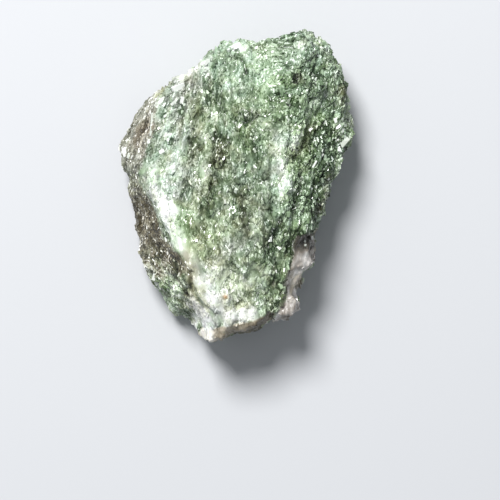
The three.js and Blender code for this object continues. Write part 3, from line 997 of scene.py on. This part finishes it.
def grain_box():
    """The grain shapes, in a collection that the scattering picks from."""
    box = bpy.data.collections.new("grain shapes")
    bpy.context.scene.collection.children.link(box)
    for name, (size, breaks) in GRAIN_SHAPES.items():
        grain = grain_shape(name, size, breaks)
        for other in list(grain.users_collection):
            other.objects.unlink(grain)
        box.objects.link(grain)
    return box


def chance(nodes, kind, low, high, seed):
    """A random value of this kind for each grain."""
    node = nodes.tree.nodes.new("FunctionNodeRandomValue")
    node.data_type = kind
    least, most = [socket for socket in node.inputs if socket.enabled][:2]
    least.default_value = low
    most.default_value = high
    node.inputs["Seed"].default_value = seed
    return Value(nodes, [socket for socket in node.outputs if socket.enabled][0])


def scattering(box, spacing, lengths, lie, seed):
    """Nodes that put grains all over a mesh where its attribute "here" allows, and join them."""
    tree = bpy.data.node_groups.new("scattering", "GeometryNodeTree")
    tree.interface.new_socket("Geometry", in_out="INPUT", socket_type="NodeSocketGeometry")
    tree.interface.new_socket("Geometry", in_out="OUTPUT", socket_type="NodeSocketGeometry")
    nodes = Nodes(tree)
    seats = nodes.add(
        "GeometryNodeDistributePointsOnFaces", {"distribute_method": "POISSON"},
        {
            "Mesh": nodes.add("NodeGroupInput"), "Distance Min": spacing * MM,
            "Density Max": CROWDING / (spacing * MM) ** 2, "Seed": seed,
            "Density Factor": nodes.add("GeometryNodeInputNamedAttribute", inputs={"Name": "here"}),
        },
    )
    way = nodes.add("GeometryNodeInputNamedAttribute", {"data_type": "FLOAT_VECTOR"}, {"Name": "way"})
    lying = nodes.add(
        "FunctionNodeAxesToRotation", {"primary_axis": "Z", "secondary_axis": "X"},
        {"Primary Axis": nodes.other(seats, "Normal"), "Secondary Axis": way},
    )
    swing = chance(nodes, "FLOAT_VECTOR", (-ROLL, -TIP, -lie), (ROLL, TIP, lie), seed + 1)
    turned = nodes.add(
        "FunctionNodeRotateRotation", {"rotation_space": "LOCAL"},
        {"Rotation": lying, "Rotate By": nodes.add("FunctionNodeEulerToRotation", inputs={0: swing})},
    )
    size = nodes.vectors("SCALE", chance(nodes, "FLOAT_VECTOR", SLIMMEST, STOUTEST, seed + 2))
    short, long = lengths
    share = chance(nodes, "FLOAT", 0, 1, seed + 3)
    nodes.plug(size.socket.node.inputs["Scale"], MM * (short + (long - short) * share * share))
    grains = nodes.add(
        "GeometryNodeCollectionInfo",
        inputs={"Collection": box, "Separate Children": True, "Reset Children": True},
    )
    placed = nodes.add(
        "GeometryNodeInstanceOnPoints",
        inputs={
            "Points": seats, "Instance": grains, "Pick Instance": True, "Rotation": turned, "Scale": size,
            "Instance Index": chance(nodes, "INT", 0, len(GRAIN_SHAPES) - 1, seed + 4),
        },
    )
    marked = nodes.add(
        "GeometryNodeStoreNamedAttribute", {"data_type": "FLOAT", "domain": "INSTANCE"},
        {"Geometry": placed, "Name": "luck", "Value": chance(nodes, "FLOAT", 0, 1, seed + 5)},
    )
    joined = nodes.add("GeometryNodeRealizeInstances", inputs={"Geometry": marked})
    nodes.add("NodeGroupOutput", inputs={0: joined})
    return tree


def grains_on(skin, name, material, here, scatter):
    """A piece of joined grains that sit in the skin where here is above 0."""
    piece = skin.copy()
    piece.data = skin.data.copy()
    piece.name = name
    piece.data.name = name
    bpy.context.scene.collection.objects.link(piece)
    attribute = piece.data.attributes.new("here", "FLOAT", "POINT")
    attribute.data.foreach_set("value", here.astype(np.float32))
    apply_modifier(piece, "NODES", node_group=scatter)
    piece.data.materials.clear()
    piece.data.materials.append(material)
    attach(piece, "root")
    return piece


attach(skin, "root")
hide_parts("diopside_stone")

box = grain_box()

# Where each kind of grain grows: fewer under the waist, and none on the base, in the cracks or in
# the pit.
seen = step(0.5, 1.0, at[:, 2]) * (0.55 + 0.45 * step(-0.3, 0.2, facings(skin)[:, 2]))
closed = step(0.12, 0.02, gape(at)) * step(-0.25, -0.1, patches(at, SMALL_TONES))
rock = seen * closed * (1 - ledge) * (1 - end_wall) * (1 - weathered)
rock = rock * (1 - 0.8 * milky) * (0.15 + 0.85 * busy)
broken = grain_material("broken_grains", darkest=-0.15, palest=0.36)
flecks = grain_material("pale_flecks", darkest=0.05, palest=0.8)
glassy = grain_material("glassy_grains", darkest=-0.24, palest=0.76, roughness=0.08)
pale = rock * step(DARKEST_PALE, PALEST_GREEN, tone)
middling = rock * step(PALEST_GREEN, DARKEST_PALE, tone) * step(DARKEST_GREEN, PALEST_DARK, tone)
dark = rock * step(PALEST_DARK, DARKEST_GREEN, tone) * (1 - 2 * painted_light_floor)
crust = seen * weathered * (1 - ledge)
matrix = seen * (0.3 * ledge + 0.1 * end_wall)
GRAIN_PIECES = [  # name, slot, finish, where, spacing, lengths, how far they turn, and random seed
    ("pale_grains", "pale_crystal", broken, pale, 0.13, (0.1, 0.4), 0.8, 10),
    ("green_grains", "green_rock", broken, middling, 0.13, (0.12, 0.42), 0.8, 20),
    ("dark_grains", "dark_crystal", glassy, dark, 0.13, (0.14, 0.5), 0.8, 30),
    ("crust_flecks", "brown_crust", flecks, crust, 0.17, (0.1, 0.36), 0.8, 40),
    ("ledge_crystals", "pink_matrix", broken, matrix, 0.3, (0.2, 0.5), 0.7, 50),
]
for name, slot, material, here, spacing, lengths, lie, seed in GRAIN_PIECES:
    grains_on(skin, name, material, here, scattering(box, spacing, lengths, lie, seed))


def crystal_shape(length, width, number):
    """A crystal that lies along Y: a block whose corners random planes have broken."""
    size = Vector((width, length, CRYSTAL_THICKNESS * width))
    crystal = grain_shape("crystal", size, [])
    bpy.ops.object.mode_set(mode="EDIT")
    for plane in range(CRYSTAL_BREAKS):
        chosen = noise.cell_vector(Vector((number, plane, 0.5))) - Vector((0.5, 0.5, 0.35))  # rather upwards
        facing = Vector((chosen.x / size.x, chosen.y / size.y, chosen.z / size.z)).normalized()
        reach = sum(abs(facing[axis]) * size[axis] / 2 for axis in range(3))
        bpy.ops.mesh.select_all(action="SELECT")
        bpy.ops.mesh.bisect(
            plane_co=facing * BREAK_DEPTH * reach, plane_no=facing, use_fill=True, clear_outer=True
        )
    bpy.ops.mesh.select_all(action="SELECT")
    bpy.ops.transform.resize(value=(MM, MM, MM), center_override=(0, 0, 0))
    bpy.ops.object.mode_set(mode="OBJECT")
    return crystal


def standing_crystals(skin, crystals):
    """The larger crystals, each one laid on the skin and sunk a little."""
    made = []
    for number, (x, y, length, width, turn, tone) in enumerate(crystals):
        hit, spot, facing, _ = skin.ray_cast((x * MM, y * MM, HIGH * MM), (0, 0, -1))
        if not hit:
            raise ValueError(f"there is no stone under the crystal at {x}, {y}")
        crystal = crystal_shape(length, width, number)
        lean = Vector((0, 0, 1)).rotation_difference((facing + Vector((0, 0, 1))).normalized())
        crystal.rotation_mode = "QUATERNION"
        crystal.rotation_quaternion = lean @ Quaternion((0, 0, 1), -math.radians(turn))
        crystal.location = spot + facing * CRYSTAL_LIFT * width * MM
        bpy.ops.object.transform_apply(location=True, rotation=True, scale=True)
        for attribute, value in (("tone", tone), ("luck", CRYSTAL_LUCK), ("grey", CRYSTAL_GREY)):
            crystal.data.attributes.new(attribute, "FLOAT", "POINT").data.foreach_set(
                "value", [value] * len(crystal.data.vertices)
            )
        made.append(crystal)
    only(made[0])
    for crystal in made:
        crystal.select_set(True)
    bpy.ops.object.join()
    joined = bpy.context.object
    joined.name = "standing_crystals"
    joined.data.name = joined.name
    joined.data.materials.append(glassy)
    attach(joined, "root")


standing_crystals(skin, CRYSTALS)
for grain in list(box.objects):
    bpy.data.objects.remove(grain)
bpy.data.collections.remove(box)

# ---------------------------------------------------------------------------------------------
# Floor, light and camera

bpy.ops.mesh.primitive_plane_add(size=0.6, location=(0, 0, 0))
floor = bpy.context.object
floor.name = "floor"
matt, _, matt_shader = new_material("pale_floor")
matt_shader["Base Color"].default_value = (0.6, 0.61, 0.63, 1)
matt_shader["Roughness"].default_value = 0.8
floor.data.materials.append(matt)

world = bpy.data.worlds.new("studio")
world.use_nodes = True
daylight = world.node_tree.nodes["Background"].inputs
daylight["Color"].default_value = (0.9, 0.95, 1, 1)
daylight["Strength"].default_value = 0.3
bpy.context.scene.world = world


def softbox(name, azimuth, elevation, distance, size, power):
    """A round lamp that looks at the stone. Azimuth 0 is at +Y, and 90 is at +X."""
    lamp = bpy.data.lights.new(name, "AREA")
    lamp.shape = "DISK"
    lamp.size = size
    lamp.energy = power
    made = bpy.data.objects.new(name, lamp)
    bpy.context.scene.collection.objects.link(made)
    turn = math.radians(azimuth)
    rise = math.radians(elevation)
    towards = Vector((math.sin(turn) * math.cos(rise), math.cos(turn) * math.cos(rise), math.sin(rise)))
    made.location = towards * distance
    made.rotation_euler = towards.to_track_quat("Z", "Y").to_euler()


softbox("key", azimuth=-25, elevation=56, distance=0.4, size=0.15, power=2.2)

LENS = 200
SENSOR = 36
AIM_HEIGHT = 3.5  # the level of the stone's edge, in millimetres
VIEW_WIDTH = 44.6  # across the view at that level
VIEW_CENTRE = (1.34, -5.62)
camera = bpy.data.cameras.new("camera")
camera.lens = LENS
camera.sensor_width = SENSOR
camera.clip_start = 0.01
viewer = bpy.data.objects.new("camera", camera)
bpy.context.scene.collection.objects.link(viewer)
viewer.location = (
    VIEW_CENTRE[0] * MM, VIEW_CENTRE[1] * MM, (AIM_HEIGHT + VIEW_WIDTH * LENS / SENSOR) * MM
)
bpy.context.scene.camera = viewer
bpy.context.scene.view_settings.view_transform = "Standard"
